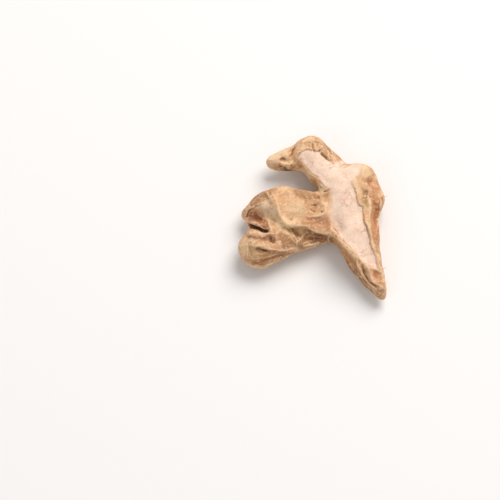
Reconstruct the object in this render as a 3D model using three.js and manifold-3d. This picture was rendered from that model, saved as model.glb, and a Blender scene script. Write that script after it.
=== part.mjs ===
// One dried ginger root: a flattened hand of grown-together fingers, wrinkled by drying, with the skin
// scraped off along its broad upper side. It grew as one piece, so it is one solid and one mesh.
// Millimetres, +Z up. It lies on its broad side and rests on three small flat spots at z = 0.
import * as THREE from "three";
import { ImprovedNoise } from "three/addons/math/ImprovedNoise.js";
import { mergeVertices } from "three/addons/utils/BufferGeometryUtils.js";
import Module from "manifold-3d";

// Driving dimensions.
const cellSize = 1.8; // spacing of the sampling grid, which sets the size of the facets
const blendInside = 3; // how softly the stretches of one finger run into each other
const blendBetween = 5; // how softly one finger runs into the next
const faceRounding = 2.4; // how round the edges of the shaved faces are
const wrinkleLength = 17; // one wrinkle along a finger
const wrinkleWidth = 5.5; // from one wrinkle to the next
const wrinkleHeight = 0.9; // from the bottom of a wrinkle to its top
const scrapeDepth = 0.5; // how far the scraped face lies under the skin around it
const lipHeight = 0.4; // how far the torn edge of the skin curls up beside it
const boxCentre = [-4.54, -5.66]; // middle of the outline, moved to the origin
const viewAngle = THREE.MathUtils.degToRad(68); // height above the table that the layout below is seen from

// The layout is read like a picture: across it, up it, and the height over the table.
const sin = Math.sin(viewAngle);
const cos = Math.cos(viewAngle);
const place = ([across, up, height]) => [across, (up - height * cos) / sin, height];
const turn = ([across, up, toward]) => [across, up * sin - toward * cos, up * cos + toward * sin];
const pictureOf = (p) => [p[0], p[1] * sin + p[2] * cos];

// Each finger is a chain of balls: across, up, height of the centre, radius. flat squeezes its height.
// Its faces are shaved flat: a point on the face, and the way it looks, as across, up and toward the eye.
const fingers = {
  body: {
    flat: 1,
    balls: [
      [15.5, 13, 11.5, 12.6],
      [20.8, 0, 11.5, 12],
      [21.4, -13, 11, 11.4],
    ],
    faces: [
      { through: [17, 5, 20.8], looks: [0.03, 0.3, 0.95] },
      { through: [28, 4, 18], looks: [0.66, 0.05, 0.75] },
      { through: [17, 0, 3], looks: [0.05, -0.34, -0.94] },
    ],
  },
  toe: {
    flat: 0.95,
    balls: [
      [21.4, -12, 11, 11.2],
      [24.2, -25, 10, 9.4],
      [28.6, -35, 8.5, 7.2],
      [32.4, -42, 7.5, 4.2],
      [34, -45.8, 7, 2.6],
    ],
    faces: [
      { through: [24, -18, 18], looks: [0.08, 0.14, 0.98] },
      { through: [12.4, -17.5, 16], looks: [-0.66, -0.4, 0.64] },
      { through: [26, -28, 3.2], looks: [-0.1, -0.45, -0.88] },
    ],
  },
  shoulder: {
    flat: 1,
    balls: [
      [16, 10, 11.5, 12],
      [21.5, 18, 11.5, 10.4],
      [27, 9.4, 11, 9.5],
    ],
    faces: [
      { through: [20, 15, 20.8], looks: [0.03, 0.32, 0.94] },
      { through: [30, 16, 17], looks: [0.55, 0.2, 0.8] },
      { through: [20, 15, 3.2], looks: [0.1, -0.3, -0.94] },
    ],
  },
  arm: {
    flat: 1,
    balls: [
      [14, 14, 11.5, 11.6],
      [3.4, 26.4, 11.5, 10.6],
      [-4.4, 34.8, 11, 9.8],
    ],
    faces: [
      { through: [0, 26, 20], looks: [-0.03, 0.34, 0.94] },
      { through: [-3.5, 22, 18.6], looks: [-0.42, -0.25, 0.88] },
      { through: [6, 34, 17], looks: [0.6, 0.62, 0.55] },
      { through: [-14, 34, 17], looks: [-0.6, 0.2, 0.78] },
      { through: [0, 26, 3], looks: [0, -0.34, -0.94] },
    ],
  },
  knob: {
    flat: 1,
    balls: [
      [-7, 33.4, 10.5, 7.5],
      [-17, 31.2, 10.5, 5.8],
      [-25.5, 29.4, 10.5, 4.6],
    ],
    faces: [{ through: [-20, 27.4, 12], looks: [-0.1, -0.75, 0.65] }],
  },
  leftLobe: {
    flat: 0.84,
    balls: [
      [8, 1, 11.5, 9.4],
      [-9, 4, 11.5, 9.4],
      [-21, 5, 12, 11],
      [-31, 2.6, 11.5, 11],
      [-38.4, -0.6, 11, 6.8],
    ],
    faces: [
      { through: [-37.4, 9.5, 11], looks: [-0.66, 0.72, 0.2] },
      { through: [-29, 3.5, 19.8], looks: [-0.42, -0.4, 0.8] },
      { through: [-14, -5, 17.8], looks: [0, -0.75, 0.66] },
      { through: [-12, 2, 20.4], looks: [0, 0.36, 0.93] },
    ],
  },
  lowerLobe: {
    flat: 0.78,
    balls: [
      [12, -6, 9.5, 8],
      [-8, -10.6, 9.5, 8.2],
      [-22, -15.6, 9.5, 8.8],
      [-34, -18.8, 10.2, 11.6],
    ],
    faces: [{ through: [-30, -22, 16], looks: [0, -0.38, 0.92] }],
  },
  webBetweenLobes: {
    flat: 1,
    balls: [
      [-8, -6, 9.5, 6],
      [-17, -9, 9.5, 6.4],
      [-24, -9.5, 9.5, 6.6],
      [-30, -9, 8.5, 5],
      [-36, -7.6, 7.5, 3.6],
    ],
    faces: [],
  },
};

// Folds of the skin as lines on the upper side: across and up along the line, how far it stands out of
// the surface or, below zero, sinks in, and how far it reaches to its left and to its right.
const upperFolds = {
  rimOfLeftLobe: {
    rise: 1.8,
    reach: [6, 2.6],
    line: [
      [-22.5, -2], [-17.5, -5.5], [-7.5, -5.5], [-1, -8.5], [5, -10], [11, -14.5], [15, -19.5], [21.5, -26.5],
    ],
  },
  hollowUnderRim: {
    rise: -4,
    reach: [4.4, 5],
    line: [[-19, -8.5], [-15, -9.5], [-11, -11], [-5.5, -12.5], [0, -13.5], [4.5, -14.5]],
  },
  slitBetweenLobes: { rise: -2.4, reach: [2.4, 2.6], line: [[-42, -6], [-37, -7], [-33, -8.4], [-29, -9.2]] },
  sideHollow: { rise: -1.5, reach: [5, 5], line: [[-30, 4], [-26, -1.5], [-23.5, -5]] },
  webRidgeA: { rise: 0.9, reach: [2.2, 2.2], line: [[-20, -9], [-16, -12], [-12.5, -15]] },
  webRidgeB: { rise: 0.9, reach: [2.2, 2.2], line: [[-8.5, -9.5], [-11.5, -13.5], [-13.5, -17]] },
  webRidgeC: { rise: 0.7, reach: [2.2, 2.2], line: [[-29, -5], [-27.5, -9], [-27.8, -12.5]] },
  diagonalRidge: {
    rise: 2,
    reach: [4, 3],
    line: [[-30.5, 14], [-27.5, 10.5], [-25, 7.5], [-23.5, 3.5], [-22.5, 0], [-20.5, -3.5], [-18, -5.5]],
  },
  redHollow: { rise: -1.7, reach: [4.4, 4.4], line: [[-37, 0.5], [-31.5, -2]] },
  redHollowEdge: {
    rise: 1.2,
    reach: [2.6, 2.6],
    line: [[-32.5, 6.5], [-36, 4.5], [-39, 3], [-41.5, 0.5], [-40, -3], [-36.5, -4.5], [-32, -5]],
  },
  lowerLobeCrest: {
    rise: 1.3,
    reach: [5, 2.6],
    line: [[-39.5, -13], [-39, -14.5], [-37, -16.5], [-33.5, -17.5], [-30, -18], [-26.5, -19], [-17, -20]],
  },
  lowerLobeHollow: { rise: -1.5, reach: [4.2, 4.2], line: [[-36, -12], [-31, -13], [-26, -13.5]] },
  lowerLobePits: { rise: -1.5, reach: [2.4, 2.4], line: [[-36, -19], [-30, -20]] },
  lowerLobeDentA: { rise: -1.6, reach: [3, 3], line: [[-32.5, -13.5], [-31.5, -14.5]] },
  lowerLobeDentB: { rise: -1.1, reach: [3.2, 3.2], line: [[-27.5, -13], [-26.5, -14.5]] },
  lowerLobeEdge: { rise: 0.8, reach: [2.4, 2.4], line: [[-30, -28], [-25, -25.5], [-20, -24], [-17, -22.5]] },
  lowerLobeFold: { rise: -0.7, reach: [2.4, 2.4], line: [[-39.5, -18], [-39, -24]] },
  budScarRing: { rise: 1, reach: [2.4, 2.4], line: [[0, 8], [2, 4], [1.5, 0.5], [-1, -1], [-6, -1.5]] },
  budScarHollow: { rise: -1.7, reach: [4.5, 4.5], line: [[-4.5, 5.5], [-1, 4]] },
  bayCrease: { rise: -1.6, reach: [2.4, 2.4], line: [[-3.5, 12], [-0.5, 9.5]] },
  shoulderHollow: { rise: -1.8, reach: [4.5, 4.5], line: [[26, 20], [29, 17.5]] },
  shoulderPit: { rise: -1, reach: [2, 2], line: [[24, 13.5], [26.5, 12], [28.5, 10.5]] },
  shaftRidge: {
    rise: 1.6,
    reach: [2.6, 2.6],
    line: [[26.5, 11], [27.5, 8.5], [28, 4.5], [27, 0.5], [26.5, -4], [27.5, -12], [29, -19.5]],
  },
  shaftGroove: {
    rise: -2.1,
    reach: [3.8, 3.4],
    line: [[30, 8.5], [31.5, 4.5], [31.5, 0], [31, -5.5], [30, -12]],
  },
  shaftEdge: { rise: 1, reach: [2.4, 2.4], line: [[34.5, 10], [34.5, 5], [33.5, -0.5], [32, -7.5]] },
  armGroove: { rise: -1.3, reach: [2.4, 2.4], line: [[-14, 39.5], [-15.5, 36], [-17.5, 33]] },
  knobRidge: { rise: 1.2, reach: [2.2, 2.2], line: [[-23, 30.5], [-20, 28.5], [-16, 28], [-13.5, 29]] },
  knobDent: { rise: -1.4, reach: [2.4, 2.4], line: [[-22.5, 32], [-20.5, 31.5]] },
  knobHollow: { rise: -1.3, reach: [3, 3], line: [[-15.5, 29.5], [-12.5, 28], [-10.5, 26]] },
  knobPit: { rise: -1, reach: [2, 2], line: [[-15.5, 27], [-13.5, 26.5]] },
  armCrack: { rise: -1.3, reach: [1.8, 1.8], line: [[1.5, 35.5], [4, 32.5]] },
  armPit: { rise: -0.9, reach: [1.8, 1.8], line: [[-3.5, 36.5], [0.5, 37]] },
  armEdge: { rise: 0.6, reach: [2, 2], line: [[-1.5, 38.5], [1, 37.5], [4.5, 36], [7.5, 32.5], [9.5, 29.5]] },
  toeRidgeA: {
    rise: 1.5,
    reach: [2.2, 2.2],
    line: [[19.5, -26.5], [21.5, -29.5], [23, -34], [25, -38], [28.5, -40.5], [32.5, -43]],
  },
  toeRidgeB: {
    rise: 1.6,
    reach: [2.2, 2.2],
    line: [[24, -26.5], [27, -31], [28.5, -34.5], [30, -37.5], [34, -40], [36, -41]],
  },
  toeValley: { rise: -0.6, reach: [2, 2], line: [[22.5, -28], [26, -34.5], [28.5, -38.5]] },
  toeHollow: { rise: -1.2, reach: [4, 4], line: [[30, -31.5], [32.5, -36]] },
  flankGroove: {
    rise: -2,
    reach: [2.6, 2.6],
    line: [[6, -17], [11, -22.5], [15, -27.5], [18.5, -32], [21.5, -36.5], [25, -41], [29, -43.5]],
  },
  flankEdge: {
    rise: 0.8,
    reach: [2.2, 2.2],
    line: [[10, -22], [13, -26.5], [15.5, -31], [18, -33.5], [21, -38]],
  },
  toeEdge: { rise: 0.6, reach: [2, 2], line: [[34, -28.5], [34.5, -31.5], [36, -36], [36, -40.5]] },
};

// The same for the underside, here as x and y of the layout: rings where leaves sat, long creases, and
// the scars of three buds.
const lowerFolds = {
  ringLeftLobeA: { rise: 1.1, reach: [2.6, 1.6], line: [[-31, 14], [-28, 8], [-27.5, 1], [-29, -5]] },
  ringLeftLobeB: { rise: 0.9, reach: [2.4, 1.6], line: [[-21, 13], [-18.5, 7], [-18, 0], [-20, -7]] },
  ringLeftLobeC: { rise: 1, reach: [2.6, 1.8], line: [[-9, 12], [-7, 5], [-7.5, -2], [-9.5, -8]] },
  ringLowerLobeA: { rise: 1, reach: [1.8, 2.6], line: [[-24, -12], [-26.5, -18], [-26, -25], [-24, -30]] },
  ringLowerLobeB: { rise: 0.9, reach: [1.8, 2.4], line: [[-12, -8], [-14, -14], [-13.5, -20], [-12, -25]] },
  lobeCrease: {
    rise: -1.8,
    reach: [2.6, 2.6],
    line: [[-40, -10.5], [-31, -11], [-21, -11.5], [-11, -11], [-1, -9], [6, -6]],
  },
  ringArmA: { rise: 1.1, reach: [1.8, 2.6], line: [[-8, 27], [-3, 31], [2, 36], [8, 39]] },
  ringArmB: { rise: 0.9, reach: [1.8, 2.6], line: [[-1, 17], [4, 22], [10, 27], [15, 29]] },
  ringKnob: { rise: 0.8, reach: [1.6, 2.2], line: [[-20, 24], [-19, 29], [-19.5, 35]] },
  ringBodyA: { rise: 1, reach: [2.6, 1.8], line: [[6, 6], [14, 8], [22, 7], [31, 3]] },
  ringBodyB: { rise: 1.1, reach: [2.6, 1.8], line: [[8, -8], [14, -6.5], [22, -8], [31, -11]] },
  ringToeA: { rise: 0.9, reach: [2.4, 1.6], line: [[12, -23], [18, -21], [25, -22.5], [33, -26]] },
  ringToeB: { rise: 0.8, reach: [2, 1.6], line: [[19, -36], [25, -34], [32, -37], [36, -40]] },
  bodyCreaseA: { rise: -1.3, reach: [2.4, 2.4], line: [[16, 19], [18, 10], [16.5, 2], [17, -7], [19, -16]] },
  bodyCreaseB: {
    rise: -1.1,
    reach: [2.2, 2.2],
    line: [[24, 12], [25, 4], [24, -5], [25, -14], [28, -24], [30, -33]],
  },
  armCrease: { rise: -1.2, reach: [2.2, 2.2], line: [[10, 20], [5, 26], [-2, 31], [-8, 33], [-16, 31]] },
  leftCreaseA: { rise: -1.2, reach: [2.4, 2.4], line: [[-3, 3], [-12, 4.5], [-22, 5], [-32, 4]] },
  leftCreaseB: { rise: -0.9, reach: [2, 2], line: [[-13, -3], [-22, -2.5], [-33, -3.5]] },
  budScarA: { rise: -1.6, reach: [3.6, 3.6], line: [[-15, 9.5], [-13.5, 9]] },
  budScarB: { rise: -1.5, reach: [3.2, 3.2], line: [[21, -1.5], [22, -2]] },
  budScarC: { rise: -1.4, reach: [3, 3], line: [[6, 31.5], [7, 31]] },
};

// Low points of the underside that carry the root, as x, y and radius. Each is worn flat at z = 0.
const feet = [
  [2, 29, 5.5],
  [-32, -16, 5.5],
  [26, -24, 5.5],
];
const footHeight = 4; // height of the middle of a foot

// Outline of the scraped face, across and up, from its upper left end down its left side and back up.
const scrapedFace = [
  [-10, 32.5], [-8, 29], [-6.5, 26], [-4, 24], [-1, 22.5], [1.5, 19.5], [3.5, 17.5], [6, 16], [6, 12],
  [6.5, 7.5], [6, -1], [8, -8], [11, -10.5], [13.5, -15], [17, -17.5], [19.5, -20], [22, -23.5],
  [25, -26.5], [27.5, -28], [30.5, -29], [33, -29], [31.5, -24], [29, -20], [27, -9.5], [25, -3],
  [24, 1], [24, 4], [22, 5.5], [20.5, 8.5], [20, 12], [19, 15], [17.5, 19], [21.5, 20], [22.5, 23.5],
  [24, 27], [21.5, 28], [18, 28.5], [13, 31], [8, 29], [4, 32.5], [2, 34.5], [1, 37], [-3.5, 36.5], [-8, 36],
];

const clamp = THREE.MathUtils.clamp;
const mix = THREE.MathUtils.lerp;
const smooth = THREE.MathUtils.smoothstep;

function softMin(a, b, reach) {
  const near = Math.max(reach - Math.abs(a - b), 0) / reach;
  return Math.min(a, b) - (near * near * reach) / 4;
}

const softMax = (a, b, reach) => -softMin(-a, -b, reach);

// Distance from a point to one tapered stretch between two balls.
function stretchDistance(p, from, to, flat) {
  const [ax, ay, az, ar] = from;
  const [bx, by, bz, br] = to;
  const dx = bx - ax;
  const dy = by - ay;
  const dz = (bz - az) / flat;
  const px = p[0] - ax;
  const py = p[1] - ay;
  const pz = (p[2] - az) / flat;
  const along = clamp((px * dx + py * dy + pz * dz) / (dx * dx + dy * dy + dz * dz), 0, 1);
  return Math.hypot(px - along * dx, py - along * dy, pz - along * dz) - mix(ar, br, along);
}

const chains = Object.values(fingers).map(({ flat, balls, faces }) => {
  const placed = balls.map(([across, up, height, radius]) => [...place([across, up, height]), radius]);
  const [first, last] = [placed[0], placed.at(-1)];
  const long = new THREE.Vector3(...last).sub(new THREE.Vector3(...first)).normalize();
  const sideways = new THREE.Vector3(0, 0, 1).cross(long).normalize();
  return {
    flat,
    balls: placed,
    faces: faces.map(({ through, looks }) => {
      const normal = new THREE.Vector3(...turn(looks)).normalize();
      return { normal: normal.toArray(), offset: normal.dot(new THREE.Vector3(...place(through))) };
    }),
    axes: [long, sideways, long.clone().cross(sideways)],
  };
});

function chainDistance(p, { flat, balls, faces }) {
  let one = Infinity;
  for (let i = 1; i < balls.length; i++)
    one = softMin(one, stretchDistance(p, balls[i - 1], balls[i], flat), blendInside);
  for (const { normal: n, offset } of faces)
    one = softMax(one, n[0] * p[0] + n[1] * p[1] + n[2] * p[2] - offset, faceRounding);
  return one;
}

function fingersDistance(p) {
  let whole = Infinity;
  for (const chain of chains) whole = softMin(whole, chainDistance(p, chain), blendBetween);
  for (const [x, y, radius] of feet)
    whole = softMin(whole, Math.hypot(p[0] - x, p[1] - y, p[2] - footHeight) - radius, blendInside);
  return whole;
}

// Wrinkles from drying: they run along each finger and fade from one finger into the next.
const noise = new ImprovedNoise();
function wrinkles(p) {
  const point = new THREE.Vector3(...p);
  let sum = 0;
  let total = 0;
  chains.forEach((chain, number) => {
    const weight = Math.exp(-chainDistance(p, chain) / 1.5);
    const [along, side, over] = chain.axes.map((axis) => point.dot(axis));
    const [a, b, c] = [along / wrinkleLength, side / wrinkleWidth, over / wrinkleWidth];
    const broad = noise.noise(a, b, c + 7.3 * number);
    const narrow = noise.noise(a * 1.7, b * 1.9, c * 1.9 + 3.1 * number);
    sum += weight * (0.7 * broad + 0.45 * (0.35 - Math.abs(narrow)));
    total += weight;
  });
  return (wrinkleHeight * sum) / total;
}

// Direction in which the distance grows, from small steps to either side.
function slope(distance, p, step) {
  const grown = [0, 1, 2].map((d) => {
    const [a, b] = [p.slice(), p.slice()];
    a[d] += step;
    b[d] -= step;
    return distance(a) - distance(b);
  });
  const size = Math.hypot(...grown) || 1;
  return grown.map((g) => g / size);
}

const drawn = (folds) =>
  Object.values(folds).map(({ rise, reach, line }) => {
    const curve = new THREE.SplineCurve(line.map(([a, u]) => new THREE.Vector2(a, u)));
    return { rise, reach, points: curve.getPoints(4 * (line.length - 1)).map((v) => [v.x, v.y]) };
  });
const upperLines = drawn(upperFolds);
const lowerLines = drawn(lowerFolds);

// How far a set of fold lines lifts the skin at a place.
function foldHeight(lines, [across, up]) {
  let lift = 0;
  for (const { rise, reach, points } of lines) {
    const widest = Math.max(...reach);
    let best = null;
    for (let i = 1; i < points.length; i++) {
      const [ax, ay] = points[i - 1];
      const [dx, dy] = [points[i][0] - ax, points[i][1] - ay];
      const [px, py] = [across - ax, up - ay];
      const t = clamp((px * dx + py * dy) / (dx * dx + dy * dy), 0, 1);
      const gap = Math.hypot(px - t * dx, py - t * dy);
      if (gap < widest && (!best || gap < best.gap))
        best = { gap, left: dx * py - dy * px > 0, along: (i - 1 + t) / (points.length - 1) };
    }
    if (!best) continue;
    const share = best.gap / reach[best.left ? 0 : 1];
    if (share >= 1) continue;
    const ends = 0.35 + 0.65 * smooth(best.along, 0, 0.2) * smooth(1 - best.along, 0, 0.2);
    lift += rise * ends * (1 - share * share) ** 2;
  }
  return lift;
}

// Distance to the edge of the scraped face, below zero inside it.
function scrapedDistance([across, up]) {
  let nearest = Infinity;
  let inside = false;
  scrapedFace.forEach(([ax, ay], i) => {
    const [bx, by] = scrapedFace[(i + 1) % scrapedFace.length];
    const [dx, dy] = [bx - ax, by - ay];
    const t = clamp(((across - ax) * dx + (up - ay) * dy) / (dx * dx + dy * dy), 0, 1);
    nearest = Math.min(nearest, Math.hypot(across - ax - t * dx, up - ay - t * dy));
    if (ay > up !== by > up && across < ax + (dx * (up - ay)) / dy) inside = !inside;
  });
  return inside ? -nearest : nearest;
}

function rootDistance(p) {
  const plain = fingersDistance(p);
  if (Math.abs(plain) > 6) return plain;
  const outward = slope(fingersDistance, p, 2);
  const facing = outward[1] * -cos + outward[2] * sin;
  const upward = smooth(facing, 0.15, 0.65);
  const downward = smooth(-outward[2], 0.25, 0.8) * smooth(p[2], 0.5, 2);
  const seen = pictureOf(p);
  const edge = scrapedDistance(seen);
  const scraped = upward * smooth(-edge, -1.2, 1.2);
  const lip = upward * lipHeight * smooth(edge, -1.2, 1) * smooth(-edge, -4, -1);
  const lift = foldHeight(upperLines, seen) * upward + foldHeight(lowerLines, p) * downward;
  return plain - lift * (1 - 0.8 * scraped) - wrinkles(p) * (1 - scraped) - lip + scrapeDepth * scraped;
}

// A square of the grid with only two opposite corners inside would pinch the surface, so the nearer of
// its outer corners is filled.
function unpinch(values, step) {
  let changed = true;
  while (changed) {
    changed = false;
    for (const [u, v] of [[0, 1], [1, 2], [0, 2]].map((pair) => pair.map((d) => step[d])))
      for (let c = 0; c + u + v < values.length; c++) {
        const square = [c, c + u, c + u + v, c + v];
        const inside = square.map((n) => values[n] < 0);
        if (inside[0] !== inside[2] || inside[1] !== inside[3] || inside[0] === inside[1]) continue;
        const outer = square.filter((n) => values[n] >= 0);
        values[values[outer[0]] < values[outer[1]] ? outer[0] : outer[1]] = -1e-3;
        changed = true;
      }
  }
}

// Samples the shape on a grid, puts one vertex in each cell that the surface crosses, and joins them.
function surfaceOf(shape, low, high, cell) {
  const counts = low.map((v, i) => Math.ceil((high[i] - v) / cell) + 1);
  const [nx, ny, nz] = counts;
  const index = (i, j, k) => i + nx * (j + ny * k);
  const at = (i, j, k) => [low[0] + i * cell, low[1] + j * cell, low[2] + k * cell];
  const values = new Float64Array(nx * ny * nz);
  for (let k = 0; k < nz; k++)
    for (let j = 0; j < ny; j++)
      for (let i = 0; i < nx; i++) values[index(i, j, k)] = shape(at(i, j, k));
  const step = [1, nx, nx * ny];
  unpinch(values, step);
  const corners = [0, 1, 2, 3, 4, 5, 6, 7].map((c) => [c & 1, (c >> 1) & 1, (c >> 2) & 1]);
  const edges = [];
  for (let a = 0; a < 8; a++)
    for (const bit of [1, 2, 4]) if (!(a & bit)) edges.push([a, a | bit]);
  const positions = [];
  const vertexOf = new Map();
  for (let k = 0; k < nz - 1; k++)
    for (let j = 0; j < ny - 1; j++)
      for (let i = 0; i < nx - 1; i++) {
        const sum = [0, 0, 0];
        let crossings = 0;
        for (const [a, b] of edges) {
          const [ca, cb] = [corners[a], corners[b]];
          const va = values[index(i + ca[0], j + ca[1], k + ca[2])];
          const vb = values[index(i + cb[0], j + cb[1], k + cb[2])];
          if (va < 0 === vb < 0) continue;
          const t = va / (va - vb);
          for (let d = 0; d < 3; d++) sum[d] += mix(ca[d], cb[d], t);
          crossings++;
        }
        if (!crossings) continue;
        const base = at(i, j, k);
        vertexOf.set(index(i, j, k), positions.length);
        positions.push(base.map((v, d) => v + (sum[d] / crossings) * cell));
      }
  const quads = [];
  for (let k = 1; k < nz - 1; k++)
    for (let j = 1; j < ny - 1; j++)
      for (let i = 1; i < nx - 1; i++) {
        const here = index(i, j, k);
        for (let d = 0; d < 3; d++) {
          const inside = values[here] < 0;
          if (inside === values[here + step[d]] < 0) continue;
          const [u, v] = [step[(d + 1) % 3], step[(d + 2) % 3]];
          const ring = [here, here - u, here - u - v, here - v].map((c) => vertexOf.get(c));
          quads.push(inside ? ring : ring.reverse());
        }
      }
  return { positions, quads };
}

// Draws every vertex toward the middle of its neighbours, then back along the slope onto the surface.
function settle(shape, positions, quads, cell) {
  const neighbours = positions.map(() => new Set());
  for (const ring of quads)
    ring.forEach((n, i) => neighbours[n].add(ring[(i + 1) % 4]).add(ring[(i + 3) % 4]));
  for (let pass = 0; pass < 3; pass++) {
    const relaxed = positions.map((p, n) => {
      const near = [...neighbours[n]];
      return p.map((v, d) => mix(v, near.reduce((sum, m) => sum + positions[m][d], 0) / near.length, 0.5));
    });
    relaxed.forEach((p, n) => {
      const away = clamp(shape(p), -cell / 3, cell / 3);
      const direction = slope(shape, p, cell / 2);
      positions[n] = p.map((v, d) => v - away * direction[d]);
    });
  }
}

// Splits the quads along their shorter diagonal, and along the other one where that edge is taken.
function split(positions, quads) {
  const name = (a, b) => (a < b ? a * positions.length + b : b * positions.length + a);
  const taken = new Set(quads.flatMap((ring) => ring.map((a, i) => name(a, ring[(i + 1) % 4]))));
  const apart = (a, b) => Math.hypot(...positions[a].map((v, d) => v - positions[b][d]));
  const triangles = [];
  for (const [a, b, c, e] of quads) {
    let first = apart(a, c) < apart(b, e);
    if (taken.has(first ? name(a, c) : name(b, e))) first = !first;
    taken.add(first ? name(a, c) : name(b, e));
    if (first) triangles.push(a, b, c, a, c, e);
    else triangles.push(b, c, e, b, e, a);
  }
  return triangles;
}

const { positions, quads } = surfaceOf(rootDistance, [-54, -60, -6], [44, 56, 30], cellSize);
settle(rootDistance, positions, quads, cellSize);
const triangles = split(positions, quads);

// Wears the feet flat: everything below z = 0 is cut off.
const wasm = await Module();
wasm.setup();
const { Manifold, Mesh } = wasm;
function solid(vertices, indices) {
  const [vertProperties, triVerts] = [Float32Array.from(vertices), Uint32Array.from(indices)];
  return Manifold.ofMesh(new Mesh({ numProp: 3, vertProperties, triVerts }));
}
const block = new THREE.BoxGeometry(140, 140, 20).deleteAttribute("normal").deleteAttribute("uv");
const below = mergeVertices(block);
below.translate(0, 0, -10);
const worn = solid(positions.flat(), triangles)
  .subtract(solid(below.getAttribute("position").array, below.getIndex().array))
  .getMesh();

const geometry = new THREE.BufferGeometry();
geometry.setAttribute("position", new THREE.BufferAttribute(worn.vertProperties, worn.numProp));
geometry.setIndex(new THREE.BufferAttribute(worn.triVerts, 1));
geometry.translate(-boxCentre[0], -boxCentre[1], 0);

const skin = new THREE.MeshStandardMaterial({ color: 0xd9ad7c, roughness: 0.9, metalness: 0 });
const gingerRoot = new THREE.Mesh(geometry, skin);
gingerRoot.name = "ginger_root";
const root = new THREE.Group();
root.add(gingerRoot);
export default root;
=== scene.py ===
# A dried ginger root lying on a pale table top. Metres, +Z up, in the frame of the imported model.
import math

import bmesh
import bpy
import numpy as np
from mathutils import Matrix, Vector


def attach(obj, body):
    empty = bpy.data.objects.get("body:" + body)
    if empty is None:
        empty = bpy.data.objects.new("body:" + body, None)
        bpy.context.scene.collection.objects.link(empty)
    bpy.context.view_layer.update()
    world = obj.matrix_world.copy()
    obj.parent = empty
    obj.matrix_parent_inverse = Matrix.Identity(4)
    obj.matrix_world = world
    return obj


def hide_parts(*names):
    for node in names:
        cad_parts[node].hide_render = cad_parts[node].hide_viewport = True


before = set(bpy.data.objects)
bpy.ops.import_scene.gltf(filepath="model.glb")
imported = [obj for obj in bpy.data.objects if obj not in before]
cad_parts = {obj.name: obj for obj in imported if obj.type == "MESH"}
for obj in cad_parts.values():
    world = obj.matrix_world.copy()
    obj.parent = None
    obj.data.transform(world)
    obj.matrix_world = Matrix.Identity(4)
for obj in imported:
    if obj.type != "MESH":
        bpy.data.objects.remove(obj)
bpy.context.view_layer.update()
scene = bpy.context.scene

# Table top and light: a pale matt board in a bright room, lit by one wide soft window behind the root
# and a weak one in front. The floor is only a stage, and the lamps are far enough away for any view.
mm = 0.001


def colour(code):
    """An sRGB hex value as linear RGBA."""
    parts = [int(code[i : i + 2], 16) / 255 for i in (1, 3, 5)]
    return [p / 12.92 if p <= 0.04045 else ((p + 0.055) / 1.055) ** 2.4 for p in parts] + [1.0]


def add_node(tree, kind, values=(), links=(), **settings):
    """Adds one node, with its settings, its unlinked input values and its input links."""
    node = tree.nodes.new(kind)
    for name, value in settings.items():
        setattr(node, name, value)
    for name, value in dict(values).items():
        node.inputs[name].default_value = value
    for name, source in dict(links).items():
        tree.links.new(source, node.inputs[name])
    return node


def new_material(name):
    """A material without any node yet."""
    material = bpy.data.materials.new(name)
    material.use_nodes = True
    material.node_tree.nodes.clear()
    return material, material.node_tree


board_colour = "#F1F2F4"
board_half = 4.0
board_gap = 0.05 * mm  # a hair under the root, so that the two don't share one plane
corners = [(across * board_half, up * board_half, 0) for across, up in ((-1, -1), (1, -1), (1, 1), (-1, 1))]
board_mesh = bpy.data.meshes.new("table_top")
board_mesh.from_pydata(corners, [], [(0, 1, 2, 3)])
board = bpy.data.objects.new("table_top", board_mesh)
scene.collection.objects.link(board)
board.location.z = -board_gap
board_paint, tree = new_material("matt_white_board")
shader = add_node(tree, "ShaderNodeBsdfPrincipled", {"Base Color": colour(board_colour), "Roughness": 0.85})
add_node(tree, "ShaderNodeOutputMaterial", links={"Surface": shader.outputs["BSDF"]})
board_mesh.materials.append(board_paint)

room_light = 0.45
room_colour = "#FFFDFA"
world = bpy.data.worlds.new("bright_room")
world.use_nodes = True
world.node_tree.nodes["Background"].inputs["Color"].default_value = colour(room_colour)
world.node_tree.nodes["Background"].inputs["Strength"].default_value = room_light
scene.world = world
scene.view_settings.view_transform = "Standard"

lamps = {
    "window_behind": {"place": (0.8, 1.2, 1.9), "size": 1.9, "watts": 53, "tint": "#FFF8F2"},
    "window_in_front": {"place": (-1.2, -1.4, 1.6), "size": 1.6, "watts": 5, "tint": "#FFFFFF"},
}
for name, lamp in lamps.items():
    light = bpy.data.lights.new(name, "AREA")
    light.shape = "DISK"
    light.size = lamp["size"]
    light.energy = lamp["watts"]
    light.color = colour(lamp["tint"])[:3]
    holder = bpy.data.objects.new(name, light)
    holder.location = lamp["place"]
    holder.rotation_euler = (-Vector(lamp["place"])).to_track_quat("-Z", "Y").to_euler()
    scene.collection.objects.link(holder)

# Camera: looks down on the root from 68 degrees above the table. The root's layout is read in the same
# way, like a picture: how far across, how far up, and the height over the table, in millimetres.
view_angle = math.radians(68)
box_centre = (-4.54, -5.66)  # where the layout puts the middle of the root's outline
picture_middle = (-39.2, -19.6)  # across and up
picture_width = 280
mid_height = 10
lens = 360
sensor = 36
nearest_seen = 20 * mm
sin_view, cos_view = math.sin(view_angle), math.cos(view_angle)


def on_root(across, up, height):
    """A point of the layout in the frame."""
    y = (up - height * cos_view) / sin_view
    return Vector((across - box_centre[0], y - box_centre[1], height)) * mm


camera = bpy.data.objects.new("camera", bpy.data.cameras.new("camera"))
camera.data.lens = lens
camera.data.sensor_width = sensor
camera.data.clip_start = nearest_seen
away = Vector((0, -cos_view, sin_view))
camera.location = on_root(*picture_middle, mid_height) + away * picture_width * mm * lens / sensor
camera.rotation_euler = (-away).to_track_quat("-Z", "Y").to_euler()
scene.collection.objects.link(camera)
scene.camera = camera

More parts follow.
